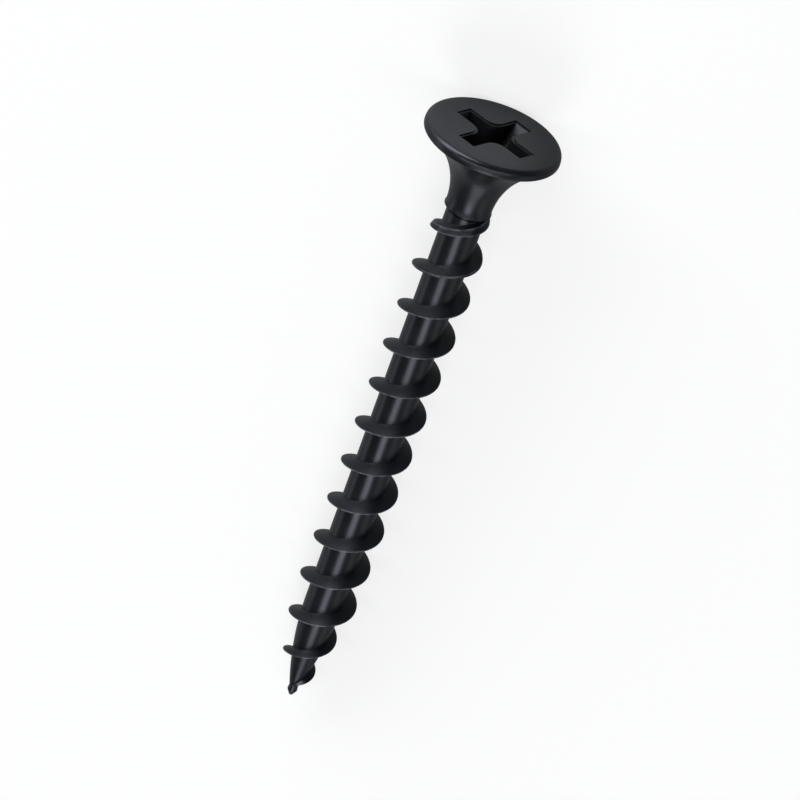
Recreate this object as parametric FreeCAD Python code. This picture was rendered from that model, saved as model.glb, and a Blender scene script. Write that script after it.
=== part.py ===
"""Drywall screw: bugle head, cross recess, coarse right-hand thread and sharp point.

The screw is drawn upright, with the centre of its flat head at the origin and its tip
down. It is then laid on its side as it comes to rest, touching the floor with the rim
of its head and with its thread. Lengths are in millimetres and angles in degrees.
"""

import FreeCAD, Part
import math
import os

Vector = FreeCAD.Vector
Z_AXIS = Vector(0, 0, 1)

# Overall
LENGTH = 41.0  # flat of the head to the tip

# Head
HEAD_RADIUS = 4.10  # at the lower edge of the rim
RIM_TOP_RADIUS = 4.06  # at the upper edge of the rim
FLAT_RADIUS = 3.62  # flat top, inside the rounded shoulder
SHOULDER_DROP = 0.17  # from the flat down to the rim
SHOULDER_CROWN = 0.045  # how far the shoulder bulges outside a straight cone
RIM_HEIGHT = 0.40
RIM_LIP = 0.10  # bevel under the rim

# Neck: a concave flare that ends in a slightly raised lower edge
NECK_RADIUS = 1.37
FLARE_RADIUS = 4.70
NECK_LENGTH = 0.21  # below the flare
NECK_LIP = 0.06  # how far the lower edge stands out
NECK_LIP_CHAMFER = 0.04

# Shank and point
ROOT_RADIUS = 1.185
POINT_LENGTH = 7.3
TIP_RADIUS = 0.07  # to which the curve of the point runs
NOSE_STEPS = 5  # short cones that make up that curve
COLLAR_START = 0.70  # the blunt end, measured up from the tip
COLLAR_HEIGHT = 0.40
COLLAR_RADIUS = 0.32
BLUNT_RADIUS = 0.10

# Thread
PITCH = 2.83
CREST_RADIUS = 2.0
CREST_LAND = 0.04  # flat along the top of the ridge
FLANK_ANGLE = 23.0  # each flank, from a plane square to the axis
THREAD_PHASE = 141.6  # where the crest would cross the plane of the flat
THREAD_GAP = 0.08  # from the neck's lower edge to where the crest begins
RUNOUT_TURNS = 1.58  # the ridge grows to its full height over these turns
RUNOUT_RADIUS = 1.37
THREAD_END = 0.65  # above the tip
RIDGE_END_HEIGHT = 0.02
SPANS_PER_TURN = 3  # each flank is split into faces of a third of a turn
SPAN_DEGREE = 5

# Crest along the point: share of the point's length, and share of the full crest radius
POINT_CREST = ((0.0, 1.0), (0.192, 0.942), (0.397, 0.767), (0.575, 0.702), (0.726, 0.565))

# Cross recess
WING_SPAN = 5.0  # across two opposite wings, at the flat
WING_WIDTH = 1.13
WING_FOOT_SPAN = 2.3
WING_FOOT_WIDTH = 0.86
WEB_RADIUS = 0.72  # rounding of the corners between wings, at the flat
WEB_FOOT_RADIUS = 0.42
WING_DEPTH = 2.3
CONE_DEPTH = 0.45  # pointed floor below the wings
MOUTH_CHAMFER = 0.08
RECESS_TURN = 56.9

# Which side of the screw faces up when it lies at rest
REST_ROLL = 0.0

RIM_BOTTOM = SHOULDER_DROP + RIM_HEIGHT
FLANK_SLOPE = math.tan(math.radians(FLANK_ANGLE))


def flare_bottom():
    """Depth at which the flare ends and the neck's lower edge begins to stand out."""
    rise = HEAD_RADIUS - RIM_LIP - NECK_RADIUS
    return RIM_BOTTOM + RIM_LIP + math.sqrt(FLARE_RADIUS**2 - (FLARE_RADIUS - rise) ** 2)


NECK_BOTTOM = flare_bottom() + NECK_LENGTH
THREAD_START = NECK_BOTTOM + THREAD_GAP


def root_radius(depth):
    """Radius of the shank between the ridges: an arc along the point, tangent to it."""
    run = depth - (LENGTH - POINT_LENGTH)
    if run <= 0:
        return ROOT_RADIUS
    drop = ROOT_RADIUS - TIP_RADIUS
    arc = (POINT_LENGTH**2 + drop**2) / (2 * drop)
    return ROOT_RADIUS - (arc - math.sqrt(arc**2 - run**2))


def smooth_value(points, place):
    """Value at one place of a smooth curve through a row of (place, value) points."""
    first = max(i for i in range(len(points) - 1) if points[i][0] <= place)
    (x0, y0), (x1, y1) = points[first : first + 2]
    x_before, y_before = points[max(0, first - 1)]
    x_after, y_after = points[min(len(points) - 1, first + 2)]
    width = x1 - x0
    slope0 = (y1 - y_before) / (x1 - x_before) if first else 0.0
    slope1 = (y_after - y0) / (x_after - x0)
    s = (place - x0) / width
    bend = width * s * (1 - s) * (slope0 * (1 - s) - slope1 * s)
    return y0 + (y1 - y0) * s**2 * (3 - 2 * s) + bend


def apex_radius(depth):
    """Radius of the full thread, before its run-out at the neck."""
    share = (depth - LENGTH + POINT_LENGTH) / POINT_LENGTH
    if share <= 0:
        return CREST_RADIUS
    end_share = 1 - THREAD_END / POINT_LENGTH
    end_value = (root_radius(LENGTH - THREAD_END) + RIDGE_END_HEIGHT) / CREST_RADIUS
    return CREST_RADIUS * smooth_value((*POINT_CREST, (end_share, end_value)), share)


def crest_radius(depth):
    """Radius of the crest: near the neck the ridge is rolled less than full."""
    grown = min(1.0, (depth - THREAD_START) / (PITCH * RUNOUT_TURNS))
    runout = RUNOUT_RADIUS + (CREST_RADIUS - RUNOUT_RADIUS) * math.sqrt(grown)
    return min(apex_radius(depth), runout)


def body_outline():
    """Half section of the screw without thread or recess, as a closed face."""
    shoulder_top = Vector(FLAT_RADIUS, 0, 0)
    shoulder_foot = Vector(RIM_TOP_RADIUS, 0, -SHOULDER_DROP)
    along = (shoulder_foot - shoulder_top).normalize()
    outward = Vector(-along.z, 0, along.x)
    shoulder_mid = (shoulder_top + shoulder_foot) / 2 + outward * SHOULDER_CROWN
    rim_foot = Vector(HEAD_RADIUS, 0, -RIM_BOTTOM)
    lip_foot = Vector(HEAD_RADIUS - RIM_LIP, 0, -RIM_BOTTOM - RIM_LIP)

    flare_depth = flare_bottom()
    centre = Vector(NECK_RADIUS + FLARE_RADIUS, 0, -flare_depth)
    top_angle = math.asin((flare_depth + lip_foot.z) / FLARE_RADIUS)
    flare_mid = centre + Vector(
        -FLARE_RADIUS * math.cos(top_angle / 2), 0, FLARE_RADIUS * math.sin(top_angle / 2)
    )
    flare_foot = Vector(NECK_RADIUS, 0, -flare_depth)
    neck_lip = NECK_RADIUS + NECK_LIP
    lip_edge = Vector(neck_lip, 0, -NECK_BOTTOM + NECK_LIP_CHAMFER)
    step_edge = Vector(neck_lip - NECK_LIP_CHAMFER, 0, -NECK_BOTTOM)
    step_root = Vector(ROOT_RADIUS, 0, -NECK_BOTTOM)

    nose = []
    for step in range(NOSE_STEPS + 1):
        depth = LENGTH - POINT_LENGTH + (POINT_LENGTH - COLLAR_START) * step / NOSE_STEPS
        nose.append(Vector(root_radius(depth), 0, -depth))
    nose.append(Vector(COLLAR_RADIUS, 0, COLLAR_HEIGHT - LENGTH))
    nose.append(Vector(BLUNT_RADIUS, 0, -LENGTH))

    edges = [
        Part.makeLine(Vector(0, 0, 0), shoulder_top),
        Part.Arc(shoulder_top, shoulder_mid, shoulder_foot).toShape(),
        Part.makeLine(shoulder_foot, rim_foot),
        Part.makeLine(rim_foot, lip_foot),
        Part.Arc(lip_foot, flare_mid, flare_foot).toShape(),
        Part.makeLine(flare_foot, lip_edge),
        Part.makeLine(lip_edge, step_edge),
        Part.makeLine(step_edge, step_root),
        Part.makeLine(step_root, nose[0]),
    ]
    edges += [Part.makeLine(upper, lower) for upper, lower in zip(nose, nose[1:])]
    edges.append(Part.makeLine(nose[-1], Vector(0, 0, -LENGTH)))
    edges.append(Part.makeLine(Vector(0, 0, -LENGTH), Vector(0, 0, 0)))
    return Part.Face(Part.Wire(edges))


def ridge_section(depth):
    """The four corners of the ridge's section where its crest is at one depth."""
    angle = math.radians(THREAD_PHASE - 360 * depth / PITCH)
    inner, crest = root_radius(depth) * 0.8, crest_radius(depth)
    corners = []
    for radius, side in ((inner, 1), (crest, 1), (crest, -1), (inner, -1)):
        offset = side * (CREST_LAND / 2 + (apex_radius(depth) - radius) * FLANK_SLOPE)
        corners.append(Vector(radius * math.cos(angle), radius * math.sin(angle), offset - depth))
    return corners


def ridge_span(top, bottom):
    """The four faces of the ridge between two depths."""
    sections = [
        ridge_section(top + (bottom - top) * step / SPAN_DEGREE) for step in range(SPAN_DEGREE + 1)
    ]
    edges = []
    for track in zip(*sections):
        curve = Part.BezierCurve()
        curve.interpolate([[point] for point in track])
        edges.append(curve.toShape())
    return [Part.makeRuledSurface(edges[i], edges[(i + 1) % 4]) for i in range(4)]


def thread_ridge():
    """The thread as one closed helical bar whose foot is inside the shank."""
    end = LENGTH - THREAD_END
    spans = round((end - THREAD_START) / PITCH * SPANS_PER_TURN)
    depths = [THREAD_START + (end - THREAD_START) * i / spans for i in range(spans + 1)]
    faces = []
    for top, bottom in zip(depths, depths[1:]):
        faces += ridge_span(top, bottom)
    for depth in (THREAD_START, end):
        corners = ridge_section(depth)
        faces.append(Part.Face(Part.makePolygon(corners + corners[:1])))
    ridge = Part.Solid(Part.Shell(faces))
    above_neck = Part.makeCylinder(2 * CREST_RADIUS, NECK_BOTTOM, Vector(0, 0, -NECK_BOTTOM))
    return ridge.cut(above_neck)


def cross_wire(span, width, web_radius, depth):
    """Outline of the cross at one depth, with rounded corners between the wings."""
    half, side = span / 2, width / 2
    bend = side + web_radius
    edges = []
    for turn in range(4):
        points = [
            Vector(half, -side, 0),
            Vector(half, side, 0),
            Vector(bend, side, 0),
            Vector(
                bend - web_radius * math.sin(math.pi / 4),
                bend - web_radius * math.cos(math.pi / 4),
                0,
            ),
            Vector(side, bend, 0),
            Vector(side, half, 0),
        ]
        wing = [
            Part.makeLine(points[0], points[1]),
            Part.makeLine(points[1], points[2]),
            Part.Arc(points[2], points[3], points[4]).toShape(),
            Part.makeLine(points[4], points[5]),
        ]
        for edge in wing:
            edge.rotate(Vector(0, 0, 0), Z_AXIS, 90 * turn)
            edges.append(edge)
    wire = Part.Wire(edges)
    wire.translate(Vector(0, 0, -depth))
    return wire


def cross_recess():
    """The space that the driver's tip fills, turned to its place in the head."""
    mouth = 2 * MOUTH_CHAMFER
    taper = (WING_SPAN - WING_FOOT_SPAN) / WING_DEPTH
    shave = (WING_WIDTH - WING_FOOT_WIDTH) / WING_DEPTH
    above = cross_wire(WING_SPAN + mouth, WING_WIDTH + mouth, WEB_RADIUS, 0)
    lip = cross_wire(
        WING_SPAN - taper * MOUTH_CHAMFER,
        WING_WIDTH - shave * MOUTH_CHAMFER,
        WEB_RADIUS,
        MOUTH_CHAMFER,
    )
    foot = cross_wire(WING_FOOT_SPAN, WING_FOOT_WIDTH, WEB_FOOT_RADIUS, WING_DEPTH)
    funnel = Part.makeLoft([above, lip], True, True)
    wings = Part.makeLoft([lip, foot], True, True)
    cone_radius = WING_FOOT_WIDTH / 2 + WEB_FOOT_RADIUS * (1 - math.cos(math.pi / 4))
    cone = Part.makeCone(
        0,
        cone_radius,
        CONE_DEPTH,
        Vector(0, 0, -WING_DEPTH - CONE_DEPTH),
    )
    recess = funnel.fuse([wings, cone])
    recess.rotate(Vector(0, 0, 0), Z_AXIS, RECESS_TURN)
    return recess


def rest_tilt():
    """Angle of the axis to the floor when the rim and the thread both touch it."""
    lowest_angle = -90.0
    tilts = []
    depth = PITCH * (THREAD_PHASE - lowest_angle - REST_ROLL) / 360
    while depth < LENGTH - THREAD_END:
        if depth > NECK_BOTTOM:
            tilts.append(math.atan((HEAD_RADIUS - crest_radius(depth)) / (depth - RIM_BOTTOM)))
        depth += PITCH
    return math.degrees(min(tilts))


def lay_down(screw):
    """Turn the upright screw onto its side, with its head towards +X, on Z = 0."""
    screw.rotate(Vector(0, 0, 0), Z_AXIS, REST_ROLL)
    screw.rotate(Vector(0, 0, 0), Vector(1, 1, 1), 120)
    screw.rotate(Vector(0, 0, 0), Vector(0, 1, 0), -rest_tilt())
    box = screw.optimalBoundingBox(False, False)
    screw.translate(Vector(-box.Center.x, -box.Center.y, -box.ZMin))
    return screw


def build_screw():
    body = body_outline().revolve(Vector(0, 0, 0), Z_AXIS, 360)
    threaded = body.fuse(thread_ridge())
    screw = threaded.cut(cross_recess())
    return lay_down(screw.Solids[0])


os.makedirs("parts", exist_ok=True)
build_screw().exportStep("parts/screw.step")
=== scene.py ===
"""A black drywall screw, lying on a pale floor as it comes to rest."""

import bmesh
import bpy
import math
from mathutils import Matrix, Vector


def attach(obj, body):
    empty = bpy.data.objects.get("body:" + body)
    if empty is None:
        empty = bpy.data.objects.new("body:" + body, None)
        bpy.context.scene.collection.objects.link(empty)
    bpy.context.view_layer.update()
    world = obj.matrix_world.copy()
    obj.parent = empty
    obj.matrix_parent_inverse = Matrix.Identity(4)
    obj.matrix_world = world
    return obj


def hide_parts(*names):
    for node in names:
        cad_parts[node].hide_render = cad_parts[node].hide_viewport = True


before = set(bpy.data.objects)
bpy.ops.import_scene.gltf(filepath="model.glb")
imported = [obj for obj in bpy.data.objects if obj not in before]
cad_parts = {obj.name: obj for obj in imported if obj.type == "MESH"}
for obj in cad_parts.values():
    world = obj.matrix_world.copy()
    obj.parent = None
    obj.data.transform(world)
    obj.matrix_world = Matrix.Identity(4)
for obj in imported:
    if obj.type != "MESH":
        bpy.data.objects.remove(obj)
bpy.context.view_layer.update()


# ---- Sizes
#
# In millimetres on the upright screw: the centre of the head's flat is at the origin
# and the tip points down. A depth is measured down from the flat.

MM = 0.001
LENGTH = 41.0  # flat of the head to the tip

# Head
HEAD_RADIUS = 4.10  # at the lower edge of the rim
FLAT_RADIUS = 3.78
FLAT_FALL_WIDTH = 0.48  # outer part of the flat, which falls away slightly
FLAT_FALL = 0.012
SHOULDER_RADIUS = 0.25  # arc that rounds the flat over
SHOULDER_SLOPE = math.radians(40.0)  # where that arc ends
EDGE_RADIUS = 0.3812  # wider arc, on down to the rim
RIM_SLOPE = math.radians(84.3)
RIM_BOTTOM = 0.57
RIM_LIP = 0.10  # bevel under the rim

# Neck: a concave flare that ends in a raised lip, with a fine groove under it
NECK_RADIUS = 1.37
FLARE_RADIUS = 4.70
NECK_LENGTH = 0.21
NECK_LIP = 0.06
GROOVE_RADIUS = 1.12
GROOVE_WIDTH = 0.20
GROOVE_BEVEL = 0.03

# Shank and point
ROOT_RADIUS = 1.185
POINT_LENGTH = 7.3
TIP_RADIUS = 0.07  # to which the curve of the point runs
COLLAR_START = 0.70  # the blunt end, measured up from the tip
COLLAR_HEIGHT = 0.40
COLLAR_RADIUS = 0.32
BLUNT_RADIUS = 0.10

# Rounding of the edges that run round the screw
RIM_ROUNDING = 0.09
LIP_ROUNDING = 0.04
NECK_ROUNDING = 0.03
COLLAR_ROUNDING = 0.06
BLUNT_ROUNDING = 0.05

# Thread
PITCH = 2.83
CREST_RADIUS = 2.0
CREST_LAND = 0.04  # flat along the top of the ridge
LAND_BULGE = 0.1  # rounding of that flat, as a share of its half width
FLANK_SLOPE = math.tan(math.radians(23.0))
FOOT_SPREAD = 0.045  # how much wider the ridge gets at its foot
FOOT_SHARE = -0.2  # depth of the ridge's hidden foot, as a share of its height
FOOT_SUNK = 0.8  # radius of the hidden foot in the end, as a share of the root's
NECK_OVERLAP = 0.01  # how far the ridge may reach into the neck
THREAD_PHASE = 141.6  # where the crest would cross the plane of the flat, in degrees
THREAD_GAP = 0.08  # from the neck's lower edge to where the crest begins
RUNOUT_TURNS = 1.58  # the ridge grows to its full height over these turns
RUNOUT_RADIUS = 1.37
LAND_SLOPE = 0.55  # slope of the land on those turns, as a share of the flank's
LAND_SLOPE_LIMIT = 0.6  # how far down it may reach, as a share of the ridge's height
THREAD_TURNS = 13
THREAD_END = 0.65  # above the tip
THREAD_START = LENGTH - THREAD_END - THREAD_TURNS * PITCH
RIDGE_END_HEIGHT = 0.02
FULL_THREAD = 0.02  # this near to its full height the whole land gets the painted highlight
HIGHLIGHT_END = 1.8  # no painted highlight nearer to the tip than this

# Crest along the point: share of the point's length, and share of the full crest radius
POINT_CREST = ((0.0, 1.0), (0.192, 0.942), (0.397, 0.767), (0.575, 0.702), (0.726, 0.565))

# Cross recess
WING_SPAN = 5.0  # across two opposite wings, at the flat
WING_WIDTH = 1.13
WING_DEPTH = 2.3
WING_FOOT_SPAN = 2.3
WING_FOOT_WIDTH = 0.86
WEB_RADIUS = 0.72  # rounding of the corners between wings, at the flat
WEB_FOOT_RADIUS = 0.42
CONE_DEPTH = 0.45  # pointed floor below the wings
MOUTH_SPREAD = 0.055  # how far the mouth reaches outside the wings
LEDGE_WIDTH = 0.12
LEDGE_DEPTH = 0.09
LEDGE_FALL = 0.01
RECESS_TURN = math.radians(56.9)

FLARE_RISE = HEAD_RADIUS - RIM_LIP - NECK_RADIUS
FLARE_BOTTOM = RIM_BOTTOM + RIM_LIP + math.sqrt(
    FLARE_RADIUS**2 - (FLARE_RADIUS - FLARE_RISE) ** 2
)
NECK_BOTTOM = FLARE_BOTTOM + NECK_LENGTH

# Where the screw lies: the middle of its flat, and the angle of its axis to the floor
FLAT_CENTRE = Vector((20.3423, 0.0, 4.1298))
REST_TILT = math.radians(3.7106)

# Fineness of the mesh
ROUND_STEPS = 144  # round the head and shank
THREAD_STEPS = 96  # in a turn of the thread
FLARE_STEPS = 20
POINT_STEPS = 24
SHOULDER_STEPS = 6  # in each arc of the shoulder
WEB_STEPS = 8
SMOOTH_BELOW = math.radians(32)  # edges that turn more than this stay sharp


def lying():
    """From the upright screw in millimetres to the screw at rest in metres."""
    turn = Matrix(
        (
            (0, -math.sin(REST_TILT), math.cos(REST_TILT)),
            (1, 0, 0),
            (0, math.cos(REST_TILT), math.sin(REST_TILT)),
        )
    ).to_4x4()
    return Matrix.Scale(MM, 4) @ Matrix.Translation(FLAT_CENTRE) @ turn


# ---- Outline of the screw at each depth

def root_radius(depth):
    """Radius of the shank, and of the point: an arc tangent to the shank."""
    run = depth - (LENGTH - POINT_LENGTH)
    if run <= 0:
        return ROOT_RADIUS
    drop = ROOT_RADIUS - TIP_RADIUS
    arc = (POINT_LENGTH**2 + drop**2) / (2 * drop)
    return ROOT_RADIUS - (arc - math.sqrt(arc**2 - run**2))


def smooth_value(points, place):
    """Value at one place of a smooth curve through a row of (place, value) points."""
    first = max(i for i in range(len(points) - 1) if points[i][0] <= place)
    (x0, y0), (x1, y1) = points[first:first + 2]
    x_before, y_before = points[max(0, first - 1)]
    x_after, y_after = points[min(len(points) - 1, first + 2)]
    width = x1 - x0
    bend0 = (y1 - y_before) / (x1 - x_before) * width if first else 0.0
    bend1 = (y_after - y0) / (x_after - x0) * width
    s = (place - x0) / width
    return (
        y0 * (1 + 2 * s) * (1 - s) ** 2 + bend0 * s * (1 - s) ** 2
        + y1 * (3 - 2 * s) * s**2 - bend1 * (1 - s) * s**2
    )


def apex_radius(depth):
    """Radius of the full thread, before its run-out at the neck."""
    end = LENGTH - THREAD_END
    share = (min(depth, end) - LENGTH + POINT_LENGTH) / POINT_LENGTH
    if share <= 0:
        return CREST_RADIUS
    last = (root_radius(end) + RIDGE_END_HEIGHT) / CREST_RADIUS
    points = (*POINT_CREST, (1 - THREAD_END / POINT_LENGTH, last))
    return CREST_RADIUS * smooth_value(points, share)


def crest_radius(depth):
    """Radius of the thread, which grows out of the shank below the neck."""
    grown = (depth - NECK_BOTTOM - THREAD_GAP) / (PITCH * RUNOUT_TURNS)
    share = math.sqrt(min(1.0, max(0.0, grown)))
    return min(apex_radius(depth), RUNOUT_RADIUS + (CREST_RADIUS - RUNOUT_RADIUS) * share)


# ---- Head, neck, shank and point

def line_to(shape, vertex, radius, depth):
    """Draws a straight edge on from a vertex, and returns its far end."""
    end = shape.verts.new((radius, 0, -depth))
    shape.edges.new((vertex, end))
    return end


def arc_to(shape, vertex, centre_radius, centre_depth, angle, steps):
    """Draws an arc on from a vertex, and returns its far end."""
    spun = bmesh.ops.spin(
        shape, geom=[vertex], cent=(centre_radius, 0, -centre_depth), axis=(0, 1, 0),
        angle=angle, steps=steps,
    )
    return [item for item in spun["geom_last"] if isinstance(item, bmesh.types.BMVert)][0]


def round_edge(shape, radius, depth, size, segments):
    """Rounds the edge that runs round the axis at one radius and depth."""
    def on_ring(vertex):
        return (
            abs(math.hypot(vertex.co.x, vertex.co.y) - radius) < 1e-4
            and abs(vertex.co.z + depth) < 1e-4
        )
    bmesh.ops.bevel(
        shape, geom=[edge for edge in shape.edges if all(map(on_ring, edge.verts))],
        offset=size, affect="EDGES", segments=segments, profile=0.5, material=-1,
    )


def body():
    """Head, neck, shank and point: half their outline, spun round the axis."""
    shape = bmesh.new()
    flat_centre = shape.verts.new((0, 0, 0))
    end = line_to(shape, flat_centre, FLAT_RADIUS - FLAT_FALL_WIDTH, 0)
    for share in (0.25, 0.5, 0.75, 1.0):
        end = line_to(
            shape, end, FLAT_RADIUS - FLAT_FALL_WIDTH * (1 - share), FLAT_FALL * share**2
        )

    # The shoulder is a tight arc and then a wider one, which ends tangent to the rim.
    arc_depth = FLAT_FALL + SHOULDER_RADIUS
    end = arc_to(shape, end, FLAT_RADIUS, arc_depth, SHOULDER_SLOPE, SHOULDER_STEPS)
    widening = EDGE_RADIUS - SHOULDER_RADIUS
    end = arc_to(
        shape, end, FLAT_RADIUS - widening * math.sin(SHOULDER_SLOPE),
        arc_depth + widening * math.cos(SHOULDER_SLOPE), RIM_SLOPE - SHOULDER_SLOPE,
        SHOULDER_STEPS,
    )
    end = line_to(shape, end, HEAD_RADIUS, RIM_BOTTOM)
    lip_radius, lip_depth = HEAD_RADIUS - RIM_LIP, RIM_BOTTOM + RIM_LIP
    end = line_to(shape, end, lip_radius, lip_depth)

    end = arc_to(
        shape, end, NECK_RADIUS + FLARE_RADIUS, FLARE_BOTTOM,
        -math.asin((FLARE_BOTTOM - lip_depth) / FLARE_RADIUS), FLARE_STEPS,
    )
    groove_bottom = NECK_BOTTOM + GROOVE_WIDTH
    for radius, depth in (
        (NECK_RADIUS + NECK_LIP, NECK_BOTTOM),
        (GROOVE_RADIUS, NECK_BOTTOM),
        (GROOVE_RADIUS, groove_bottom),
        (ROOT_RADIUS, groove_bottom + GROOVE_BEVEL),
    ):
        end = line_to(shape, end, radius, depth)

    for step in range(POINT_STEPS + 1):
        run = (POINT_LENGTH - COLLAR_START) * step / POINT_STEPS
        depth = LENGTH - POINT_LENGTH + run
        end = line_to(shape, end, root_radius(depth), depth)
    end = line_to(shape, end, COLLAR_RADIUS, LENGTH - COLLAR_HEIGHT)
    end = line_to(shape, end, BLUNT_RADIUS, LENGTH)
    line_to(shape, end, 0, LENGTH)

    bmesh.ops.spin(
        shape, geom=shape.verts[:] + shape.edges[:], cent=(0, 0, 0), axis=(0, 0, 1),
        angle=2 * math.pi, steps=ROUND_STEPS, use_merge=True,
    )
    bmesh.ops.remove_doubles(shape, verts=shape.verts[:], dist=1e-5)
    round_edge(shape, HEAD_RADIUS, RIM_BOTTOM, RIM_ROUNDING, 4)
    round_edge(shape, lip_radius, lip_depth, LIP_ROUNDING, 3)
    round_edge(shape, NECK_RADIUS + NECK_LIP, NECK_BOTTOM, NECK_ROUNDING, 3)
    round_edge(shape, COLLAR_RADIUS, LENGTH - COLLAR_HEIGHT, COLLAR_ROUNDING, 3)
    round_edge(shape, BLUNT_RADIUS, LENGTH, BLUNT_ROUNDING, 3)
    bmesh.ops.recalc_face_normals(shape, faces=shape.faces[:])
    return shape


# ---- Thread

RIDGE_HEIGHT = CREST_RADIUS - ROOT_RADIUS


def ridge_section(shape):
    """The ridge's closed section, drawn where the thread starts."""
    # Each corner is a share of the height above the foot, and a share of the land.
    flank = (FOOT_SHARE, 0.0, 0.1, 0.25, 0.5, 0.93)
    land = (-1, -0.5, 0, 0.5, 1)
    section = [(share, -1) for share in flank]
    section += [(1.0, side) for side in land]
    section += [(share, 1) for share in reversed(flank)]
    start_angle = math.radians(THREAD_PHASE - 360 * THREAD_START / PITCH)
    corners = []
    for share, side in section:
        radius = ROOT_RADIUS + RIDGE_HEIGHT * share
        offset = side * (CREST_LAND / 2 + (CREST_RADIUS - radius) * FLANK_SLOPE)
        corners.append(shape.verts.new((
            radius * math.cos(start_angle), radius * math.sin(start_angle),
            -THREAD_START - offset,
        )))
    edges = [
        shape.edges.new((corners[index - 1], corners[index])) for index in range(len(corners))
    ]
    return corners, edges


def full_ridge(shape):
    """The ridge at its full height: its section spun one turn, then repeated."""
    corners, edges = ridge_section(shape)
    spun = bmesh.ops.spin(
        shape, geom=corners + edges, cent=(0, 0, 0), axis=(0, 0, 1),
        dvec=(0, 0, -PITCH / THREAD_STEPS), angle=-2 * math.pi, steps=THREAD_STEPS,
    )
    last = [item for item in spun["geom_last"] if isinstance(item, bmesh.types.BMEdge)]
    one_turn = shape.verts[:] + shape.edges[:] + shape.faces[:]
    for turn in range(1, THREAD_TURNS):
        copied = bmesh.ops.duplicate(shape, geom=one_turn)
        moved = [item for item in copied["geom"] if isinstance(item, bmesh.types.BMVert)]
        bmesh.ops.translate(shape, verts=moved, vec=(0, 0, -PITCH * turn))
        if turn == THREAD_TURNS - 1:
            last = [copied["edge_map"][edge] for edge in last]
    for end in (edges, last):
        bmesh.ops.contextual_create(shape, geom=end)
    bmesh.ops.remove_doubles(shape, verts=shape.verts[:], dist=1e-4)


def crest_depth(vertex):
    """Depth of the nearest crest at the angle round the axis where a vertex is."""
    angle = math.degrees(math.atan2(vertex.co.y, vertex.co.x))
    first = PITCH * (THREAD_PHASE - angle) / 360
    return first + PITCH * round((-vertex.co.z - first) / PITCH)


def fit_ridge(shape):
    """Brings the full ridge to its height at each depth, and marks the edge that gets a painted
    highlight.
    """
    painted_highlight = shape.verts.layers.float.new("painted_highlight")
    for vertex in shape.verts:
        depth = crest_depth(vertex)
        apex, crest, root = apex_radius(depth), crest_radius(depth), root_radius(depth)
        full_radius = math.hypot(vertex.co.x, vertex.co.y)
        # The land is at a share of 1, and the hidden foot at one below 0.
        share = (full_radius - ROOT_RADIUS) / RIDGE_HEIGHT
        on_land = share > 0.999
        offset = -vertex.co.z - depth
        side = offset / (CREST_LAND / 2) if on_land else math.copysign(1, offset)
        # Where the thread isn't rolled full, its top slopes up towards the tip.
        drop = 2 * (apex - crest) * FLANK_SLOPE * LAND_SLOPE
        top = crest - min(drop, LAND_SLOPE_LIMIT * (crest - root)) * (1 - side) / 2
        radius = root * FOOT_SUNK if share < -0.01 else root + share * (top - root)
        half = CREST_LAND / 2 + (apex - radius) * FLANK_SLOPE
        half += FOOT_SPREAD * (1 - max(0.0, share)) * (crest - root) / RIDGE_HEIGHT
        if on_land:
            radius += LAND_BULGE * half * (1 - side**2)
            # Painted highlight: both edges of the land, and the whole land where the thread is
            # full.
            highlighted = abs(side) > 0.9 or crest > apex - FULL_THREAD
            vertex[painted_highlight] = 1.0 if highlighted and depth < LENGTH - HIGHLIGHT_END else 0.0
        scale = radius / full_radius
        vertex.co = (vertex.co.x * scale, vertex.co.y * scale, -depth - side * half)


def ridge():
    """The thread, which grows below the neck and fades along the point."""
    shape = bmesh.new()
    full_ridge(shape)
    fit_ridge(shape)
    # Nothing of the ridge stands above the neck's lower face.
    cut = bmesh.ops.bisect_plane(
        shape, geom=shape.verts[:] + shape.edges[:] + shape.faces[:], dist=1e-5,
        plane_co=(0, 0, NECK_OVERLAP - NECK_BOTTOM), plane_no=(0, 0, 1), clear_outer=True,
    )
    rim = [item for item in cut["geom_cut"] if isinstance(item, bmesh.types.BMEdge)]
    bmesh.ops.contextual_create(shape, geom=rim)
    bmesh.ops.recalc_face_normals(shape, faces=shape.faces[:])
    return shape


# ---- Cross recess

def cross_outline(shape, span, width, web_radius, depth):
    """One closed outline of the cross recess, with its inner corners rounded."""
    half, side = span / 2, width / 2
    corners = []
    for quarter in range(4):
        turn = Matrix.Rotation(RECESS_TURN + quarter * math.pi / 2, 4, "Z")
        for along, across in ((half, -side), (half, side), (side, side)):
            corners.append(shape.verts.new(turn @ Vector((along, across, -depth))))
    for index in range(len(corners)):
        shape.edges.new((corners[index - 1], corners[index]))
    inner = corners[2::3]
    rounded = bmesh.ops.bevel(
        shape, geom=inner, offset=web_radius, affect="VERTICES", segments=WEB_STEPS,
        profile=0.5, material=-1,
    )
    ring = {vertex for vertex in corners if vertex.is_valid} | set(rounded["verts"])
    return [edge for edge in shape.edges if ring.issuperset(edge.verts)]


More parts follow.
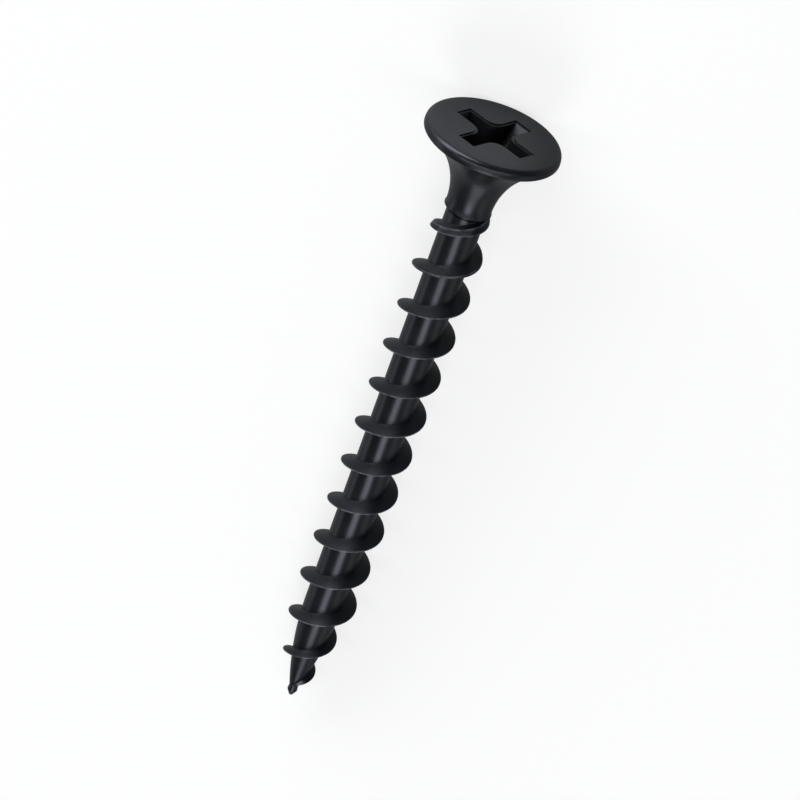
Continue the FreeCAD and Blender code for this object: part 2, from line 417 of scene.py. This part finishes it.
def recess():
    """The space of the cross recess, as a cutter."""
    shape = bmesh.new()
    span, width = WING_SPAN + 2 * MOUTH_SPREAD, WING_WIDTH + 2 * MOUTH_SPREAD
    ledge = 2 * LEDGE_WIDTH
    outlines = [
        cross_outline(shape, span, width, WEB_RADIUS, -LEDGE_DEPTH),
        cross_outline(shape, span, width, WEB_RADIUS, LEDGE_DEPTH),
        cross_outline(shape, span - ledge, width - ledge, WEB_RADIUS, LEDGE_DEPTH + LEDGE_FALL),
        cross_outline(shape, WING_FOOT_SPAN, WING_FOOT_WIDTH, WEB_FOOT_RADIUS, WING_DEPTH),
    ]
    for upper, lower in zip(outlines, outlines[1:]):
        bmesh.ops.bridge_loops(shape, edges=upper + lower)
    bmesh.ops.contextual_create(shape, geom=outlines[0])
    floor = bmesh.ops.contextual_create(shape, geom=outlines[-1])["faces"]
    poked = bmesh.ops.poke(shape, faces=floor)
    for vertex in poked["verts"]:
        vertex.co.z -= CONE_DEPTH
    # The inside of the recess is marked for painted shade and a duller finish.
    hollow = shape.verts.layers.float.new("hollow")
    for vertex in shape.verts:
        vertex[hollow] = 1.0 if -vertex.co.z > LEDGE_DEPTH else 0.0
    bmesh.ops.recalc_face_normals(shape, faces=shape.faces[:])
    return shape


# ---- The whole screw

def as_object(shape, name):
    mesh = bpy.data.meshes.new(name)
    shape.to_mesh(mesh)
    shape.free()
    piece = bpy.data.objects.new(name, mesh)
    bpy.context.scene.collection.objects.link(piece)
    return piece


def combine(piece, other, operation):
    """Adds another closed shape to a piece, or cuts it out."""
    change = piece.modifiers.new(operation.lower(), "BOOLEAN")
    change.object = other
    change.operation = operation
    change.solver = "MANIFOLD"
    bpy.context.view_layer.update()
    evaluated = piece.evaluated_get(bpy.context.evaluated_depsgraph_get())
    mesh = bpy.data.meshes.new_from_object(evaluated)
    piece.modifiers.clear()
    piece.data = mesh
    bpy.data.objects.remove(other)


def screw():
    """The screw as one closed piece, lying as it comes to rest."""
    piece = as_object(body(), "threaded_screw")
    combine(piece, as_object(ridge(), "ridge"), "UNION")
    combine(piece, as_object(recess(), "recess"), "DIFFERENCE")
    shape = bmesh.new()
    shape.from_mesh(piece.data)
    bmesh.ops.remove_doubles(shape, verts=shape.verts[:], dist=1e-4)
    bmesh.ops.dissolve_degenerate(shape, edges=shape.edges[:], dist=1e-4)
    # A corner within an edge would leave slivers back to back on either side of it.
    within = [vertex for vertex in shape.verts if len(vertex.link_edges) == 2]
    bmesh.ops.dissolve_verts(shape, verts=within)
    bmesh.ops.recalc_face_normals(shape, faces=shape.faces[:])
    for face in shape.faces:
        face.smooth = True
    bmesh.ops.transform(shape, matrix=lying(), verts=shape.verts[:])
    shape.to_mesh(piece.data)
    shape.free()
    piece.data.name = "threaded_screw"
    piece.data.set_sharp_from_angle(angle=SMOOTH_BELOW)
    return piece


# ---- Materials

class Surface:
    """A new material, with short ways to add what its shader reads."""

    def __init__(self, name):
        self.material = bpy.data.materials.new(name)
        self.material.use_nodes = True
        self.nodes = self.material.node_tree.nodes
        self.links = self.material.node_tree.links
        self.shader = self.nodes["Principled BSDF"]
        self.place = self.nodes.new("ShaderNodeTexCoord").outputs["Object"]

    def feed(self, socket, value):
        """Gives a socket another node's output, or else a fixed value."""
        if isinstance(value, bpy.types.NodeSocket):
            self.links.new(value, socket)
        else:
            socket.default_value = value

    def noise(self, scale, detail):
        node = self.nodes.new("ShaderNodeTexNoise")
        node.inputs["Scale"].default_value = scale
        node.inputs["Detail"].default_value = detail
        self.feed(node.inputs["Vector"], self.place)
        return node.outputs["Fac"]

    def attribute(self, name):
        node = self.nodes.new("ShaderNodeAttribute")
        node.attribute_name = name
        return node.outputs["Fac"]

    def spread(self, value, start, end, low, high):
        """Turns values from start to end into values from low to high."""
        node = self.nodes.new("ShaderNodeMapRange")
        names = ("Value", "From Min", "From Max", "To Min", "To Max")
        for name, number in zip(names, (value, start, end, low, high)):
            self.feed(node.inputs[name], number)
        return node.outputs["Result"]

    def product(self, first, second):
        node = self.nodes.new("ShaderNodeMath")
        node.operation = "MULTIPLY"
        self.feed(node.inputs[0], first)
        self.feed(node.inputs[1], second)
        return node.outputs[0]

    def mix(self, kind, share, first, second):
        """Goes from the first colour or number to the second as the share grows."""
        node = self.nodes.new("ShaderNodeMix")
        node.data_type = kind
        sockets = [socket for socket in node.inputs if socket.enabled]
        for socket, value in zip(sockets, (share, first, second)):
            self.feed(socket, value)
        return [socket for socket in node.outputs if socket.enabled][0]


def black_phosphate():
    """Satin black: slightly cloudy, with a fine grain, a painted highlight along the thread's
    edge and painted shade inside the recess.
    """
    surface = Surface("black_phosphate")
    nodes, shader = surface.nodes, surface.shader
    shader.inputs["Metallic"].default_value = 0.0
    shader.inputs["Specular IOR Level"].default_value = 0.5
    shader.inputs["Specular Tint"].default_value = (0.82, 0.87, 1.0, 1)

    cloud = surface.noise(700.0, 3.0)
    black = nodes.new("ShaderNodeValToRGB")
    black.color_ramp.elements[0].position = 0.35
    black.color_ramp.elements[0].color = (0.0038, 0.0041, 0.0054, 1)
    black.color_ramp.elements[1].position = 0.68
    black.color_ramp.elements[1].color = (0.0070, 0.0075, 0.0096, 1)
    surface.feed(black.inputs["Fac"], cloud)
    satin = surface.spread(cloud, 0.0, 1.0, 0.26, 0.36)

    # Painted highlight: the edge of the thread is paler, broken into small flecks.
    highlight_flecks = surface.spread(surface.noise(2500.0, 2.0), 0.40, 0.55, 0.35, 1.0)
    highlighted = surface.product(surface.attribute("painted_highlight"), highlight_flecks)
    edge = surface.mix("RGBA", highlighted, black.outputs["Color"], (0.105, 0.109, 0.118, 1))

    # Painted shade: the recess is blacker inside; its roughness is also higher there.
    hollow = surface.attribute("hollow")
    colour = surface.mix("RGBA", hollow, edge, (0.0025, 0.0025, 0.003, 1))
    surface.feed(shader.inputs["Base Color"], colour)
    surface.feed(shader.inputs["Roughness"], surface.mix("FLOAT", hollow, satin, 0.45))

    grain = nodes.new("ShaderNodeBump")
    grain.inputs["Strength"].default_value = 0.12
    grain.inputs["Distance"].default_value = 0.00001
    surface.feed(grain.inputs["Height"], surface.noise(22000.0, 2.0))
    surface.feed(shader.inputs["Normal"], grain.outputs["Normal"])
    return surface.material


def pale_floor():
    """White to the camera, with the shadow on it. To the screw above it, it is darker, with
    painted reflections: darker along one side and paler in front of the head.
    """
    surface = Surface("pale_floor")
    nodes, shader = surface.nodes, surface.shader
    shader.inputs["Roughness"].default_value = 0.7
    shader.inputs["Specular IOR Level"].default_value = 0.1
    along_and_across = nodes.new("ShaderNodeSeparateXYZ")
    surface.feed(along_and_across.inputs["Vector"], surface.place)
    along, across = along_and_across.outputs["X"], along_and_across.outputs["Y"]

    # Painted reflection: a pale patch in front of the head, which the flat of the head mirrors.
    # The curve reads the place along the screw as a share of the reach, and gives 1 in the
    # patch.
    reach = 0.04
    patch = nodes.new("ShaderNodeFloatCurve")
    points = patch.mapping.curves[0].points
    for spot, height in ((0.49, 0.0), (0.60, 1.0), (0.75, 1.0), (0.90, 0.0)):
        points.new(spot, height)
    points[0].location = (0.0, 0.0)
    points[-1].location = (1.0, 0.0)
    for point in points:
        point.handle_type = "VECTOR"
    patch.mapping.update()
    surface.feed(patch.inputs["Value"], surface.product(along, 1 / reach))
    # Painted reflections: as the screw sees it, the floor is darker, more so along one side,
    # and paler in the patch.
    under = surface.spread(across, -0.008, 0.003, 0.21, 0.34)
    ahead = surface.spread(across, -0.0034, -0.0012, 0.36, 0.80)
    painted_reflection = surface.mix("FLOAT", patch.outputs["Value"], under, ahead)

    seen = nodes.new("ShaderNodeLightPath").outputs["Is Camera Ray"]
    colour = surface.mix("RGBA", seen, painted_reflection, (0.98, 0.98, 0.98, 1))
    surface.feed(shader.inputs["Base Color"], colour)
    glow = nodes.new("ShaderNodeEmission")
    glow.inputs["Color"].default_value = (1, 1, 1, 1)
    glow.inputs["Strength"].default_value = 1.04
    blend = nodes.new("ShaderNodeMixShader")
    surface.feed(blend.inputs["Fac"], surface.product(seen, 0.65))
    surface.feed(blend.inputs[1], shader.outputs["BSDF"])
    surface.feed(blend.inputs[2], glow.outputs["Emission"])
    surface.feed(nodes["Material Output"].inputs["Surface"], blend.outputs["Shader"])
    return surface.material


# ---- The screw, the floor, the lights and the camera

drywall_screw = screw()
drywall_screw.data.materials.clear()
drywall_screw.data.materials.append(black_phosphate())
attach(drywall_screw, "root")
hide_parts("screw")

floor_shape = bmesh.new()
bmesh.ops.create_grid(floor_shape, x_segments=1, y_segments=1, size=2.0)
floor = as_object(floor_shape, "floor")
floor.data.materials.append(pale_floor())

# Each lamp is a soft box that faces the screw. Azimuth and elevation are in degrees,
# and distance and size in metres.
LAMP_CENTRE = Vector((0.0, 0.0, 0.004))
LAMP_COLOUR = (0.98, 0.99, 1.0)
LAMPS = (
    # name, azimuth, elevation, distance, size, power
    ("streak_box", 188, 53, 0.5, (0.22, 0.21), 0.61),
    ("low_box", 188, 18, 0.5, (0.22, 0.40), 0.41),
    ("cross_box", 0, 90, 0.5, (0.15, 1.0), 1.3),
    ("side_box", 100, 8, 0.6, (0.6, 0.15), 0.30),
    ("fill_box", 238, 13, 0.6, (0.5, 0.35), 0.26),
    ("head_box", 40, 16, 0.5, (0.55, 0.30), 2.7),
)


def lamp(name, azimuth, elevation, distance, size, power):
    data = bpy.data.lights.new(name, "AREA")
    data.shape = "RECTANGLE"
    data.size, data.size_y = size
    data.energy = power
    data.color = LAMP_COLOUR
    holder = bpy.data.objects.new(name, data)
    bpy.context.scene.collection.objects.link(holder)
    az, el = math.radians(azimuth), math.radians(elevation)
    away = Vector((math.cos(el) * math.cos(az), math.cos(el) * math.sin(az), math.sin(el)))
    holder.location = LAMP_CENTRE + away * distance
    holder.rotation_euler = away.to_track_quat("Z", "Y").to_euler()


for settings in LAMPS:
    lamp(*settings)

world = bpy.data.worlds.new("studio")
world.use_nodes = True
world.node_tree.nodes["Background"].inputs["Color"].default_value = (0.86, 0.90, 0.97, 1)
world.node_tree.nodes["Background"].inputs["Strength"].default_value = 0.10
bpy.context.scene.world = world


def photo_camera():
    """The camera at the photograph's angle: its place and turn about the upright screw."""
    data = bpy.data.cameras.new("camera")
    data.sensor_width = 36.0
    data.lens = 198.894
    data.clip_start = 0.01
    data.clip_end = 10.0
    holder = bpy.data.objects.new("camera", data)
    bpy.context.scene.collection.objects.link(holder)
    turn = Matrix(
        (
            (-0.939221, 0.343314, 0.0),
            (-0.173283, -0.474059, 0.863274),
            (0.296374, 0.810805, 0.504736),
        )
    ).to_4x4()
    place = Matrix.Translation((-0.1220, 225.0172, 112.9123))
    pose = lying() @ place @ turn
    holder.matrix_world = Matrix.LocRotScale(pose.to_translation(), pose.to_quaternion(), None)
    bpy.context.scene.camera = holder


photo_camera()
bpy.context.scene.view_settings.view_transform = "Standard"
